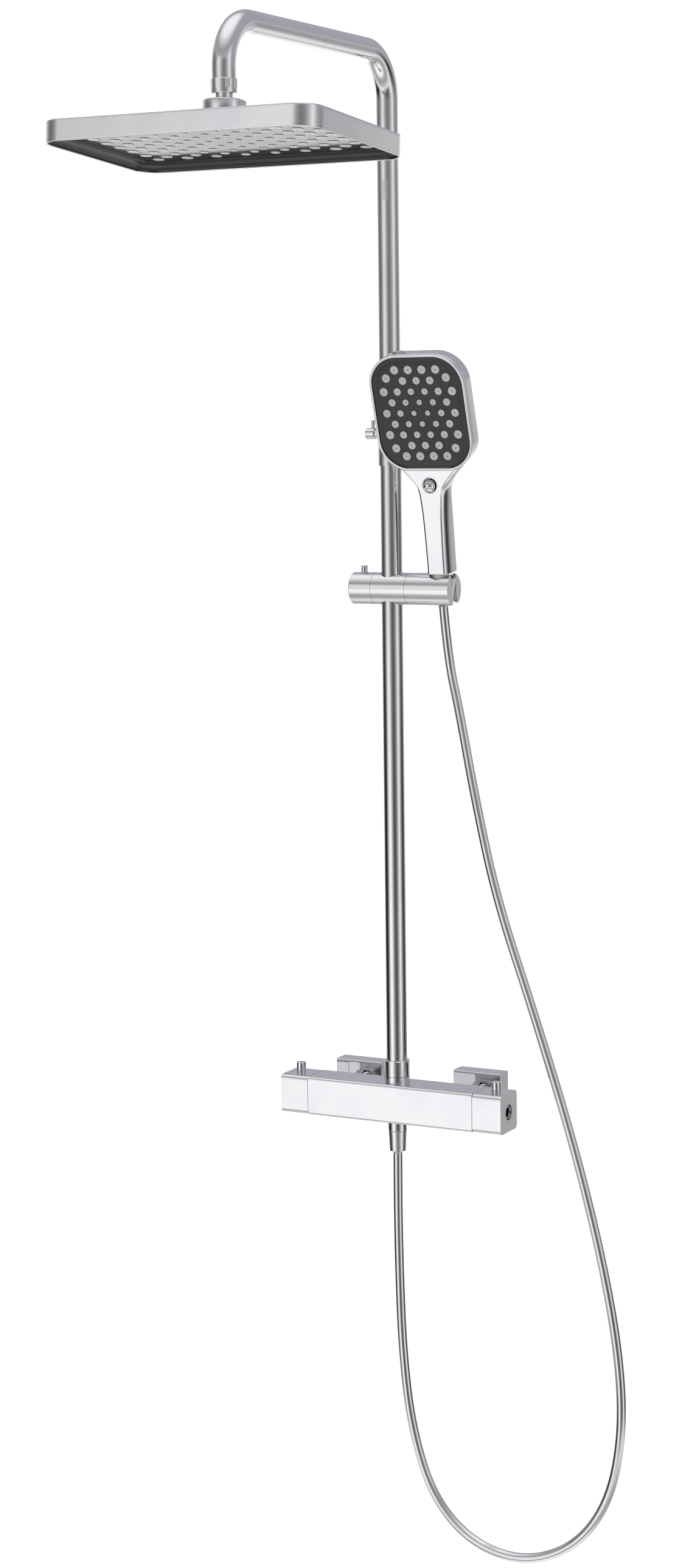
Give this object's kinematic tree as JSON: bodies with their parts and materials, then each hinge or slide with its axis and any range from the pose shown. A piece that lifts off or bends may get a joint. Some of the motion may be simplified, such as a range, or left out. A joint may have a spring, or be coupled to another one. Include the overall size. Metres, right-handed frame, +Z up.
{
  "type": "rainfall shower column",
  "caption": "Wall shower column: bar valve with square handles, telescopic riser with a flat rectangular overhead shower, slider, handset and hanging hose.",
  "frame": {"origin": "on the wall plane, midway between the two inlets, at the height of the valve's axis", "axes": "+X to the right of a person facing the wall, +Y into the wall, +Z up along the riser"},
  "size_m": [0.4308, 0.5494, 1.6833],
  "materials": {
    "chrome": "mirror chrome plate on brass",
    "chromed_plastic": "mirror chrome plate on ABS",
    "face_plastic": "dark grey, semi-gloss",
    "silicone": "soft light grey silicone",
    "hose_skin": "smooth silver hose under a clear skin",
    "brass": "machined",
    "steel": "stainless",
    "white_plastic": "moulded acetal",
    "seal_rubber": "black nitrile"
  },
  "bodies": {
    "column": {"valve_body": "chrome", "thermostatic_cartridge": "brass", "flow_cartridge": "brass", "union_nuts": "chrome", "inlet_washers": "seal_rubber", "wall_connector_left": "brass", "wall_connector_right": "brass", "wall_flange_left": "chrome", "wall_flange_right": "chrome", "collar_ring": "chrome", "collar_nut": "chrome", "lower_tube": "chrome", "bracket_sleeve": "chrome", "bracket_arm": "chrome", "bracket_plate": "chrome", "outlet_nipple": "brass", "hose_nut": "chrome", "hose_washer": "seal_rubber", "hose_cone": "chrome", "hose": "hose_skin"},
    "temp_handle": {"temp_handle": "chrome", "temp_handle_pin": "chrome", "temp_handle_screw": "steel"},
    "flow_handle": {"flow_handle": "chrome", "flow_handle_pin": "chrome", "flow_handle_screw": "steel"},
    "lock_knob": {"lock_knob": "chrome", "lock_lever": "chrome"},
    "riser_bush": {"joint_bush": "white_plastic"},
    "riser": {"guide_tube": "steel", "guide_seals": "seal_rubber", "upper_tube": "chrome", "arm_nipple": "brass"},
    "ball": {"ball_nut": "chrome", "ball_stud": "brass"},
    "seat": {"ball_seat": "white_plastic"},
    "head": {"ball_socket": "chrome", "socket_cap": "chrome", "head_shell": "chrome", "head_bezel": "face_plastic", "head_plate": "face_plastic", "head_nozzles": "silicone", "head_cover": "white_plastic"},
    "slider_bush": {"slider_bush": "white_plastic"},
    "slider": {"slider_block": "chrome", "cradle_pin": "steel"},
    "slider_knob": {"slider_knob": "chrome", "slider_lever": "chrome"},
    "cradle": {"cradle": "chrome"},
    "handset": {"handset_shell": "chromed_plastic", "handset_plate": "face_plastic", "handset_nozzles": "silicone", "handset_chamber": "white_plastic", "handset_nipple": "white_plastic", "water_tube": "white_plastic", "cone_nut": "chrome", "cone_washer": "seal_rubber", "button_spring": "steel"},
    "button": {"handset_button": "chrome"}
  },
  "joints": [
    {"name": "temp_turn", "type": "hinge", "parent": "column", "child": "temp_handle", "pos_m": [0.12, -0.0725, 0], "axis": [1, 0, 0], "range_deg": [-90, 45]},
    {"name": "flow_turn", "type": "hinge", "parent": "column", "child": "flow_handle", "pos_m": [-0.12, -0.0725, 0], "axis": [1, 0, 0], "range_deg": [-90, 90]},
    {"name": "lock_turn", "type": "hinge", "parent": "column", "child": "lock_knob", "pos_m": [-0.024, -0.0725, 0.7483], "axis": [1, 0, 0], "range_deg": [0, 90]},
    {"name": "arm_swivel", "type": "hinge", "parent": "column", "child": "riser_bush", "pos_m": [0, -0.0725, 0.748], "axis": [0, 0, 1], "range_deg": [-60, 60]},
    {"name": "arm_height", "type": "slide", "parent": "riser_bush", "child": "riser", "axis": [0, 0, 1], "range_m": [0, 0.25]},
    {"name": "head_spin", "type": "hinge", "parent": "riser", "child": "ball", "pos_m": [0, -0.4265, 1.065], "axis": [0, 0, 1], "continuous": true},
    {"name": "head_tilt_front", "type": "hinge", "parent": "ball", "child": "seat", "pos_m": [0, -0.4265, 1.065], "axis": [1, 0, 0], "range_deg": [-7, 17]},
    {"name": "head_tilt_side", "type": "hinge", "parent": "seat", "child": "head", "pos_m": [0, -0.4265, 1.065], "axis": [0, 1, 0], "range_deg": [-8, 8]},
    {"name": "slider_height", "type": "slide", "parent": "column", "child": "slider_bush", "axis": [0, 0, 1], "range_m": [-0.4, 0.09], "deforming": ["hose"]},
    {"name": "slider_swivel", "type": "hinge", "parent": "slider_bush", "child": "slider", "pos_m": [0, -0.0725, 0.578], "axis": [0, 0, 1], "range_deg": [-60, 30], "deforming": ["hose"]},
    {"name": "slider_lock", "type": "hinge", "parent": "slider", "child": "slider_knob", "pos_m": [-0.03, -0.0725, 0.578], "axis": [1, 0, 0], "range_deg": [0, 75]},
    {"name": "cradle_tilt", "type": "hinge", "parent": "slider", "child": "cradle", "pos_m": [0.05, -0.0725, 0.578], "axis": [1, 0, 0], "range_deg": [0, 25], "deforming": ["hose"]},
    {"name": "handset_lift", "type": "slide", "parent": "cradle", "child": "handset", "axis": [0, -0.1461, 0.9893], "range_m": [0, 0.045], "deforming": ["hose"]},
    {"name": "button_press", "type": "slide", "parent": "handset", "child": "button", "axis": [0, 0.9893, 0.1461], "range_m": [0, 0.003], "stiffness_N_per_m": 700, "springref_m": -0.001, "deforming": ["button_spring"]}
  ]
}
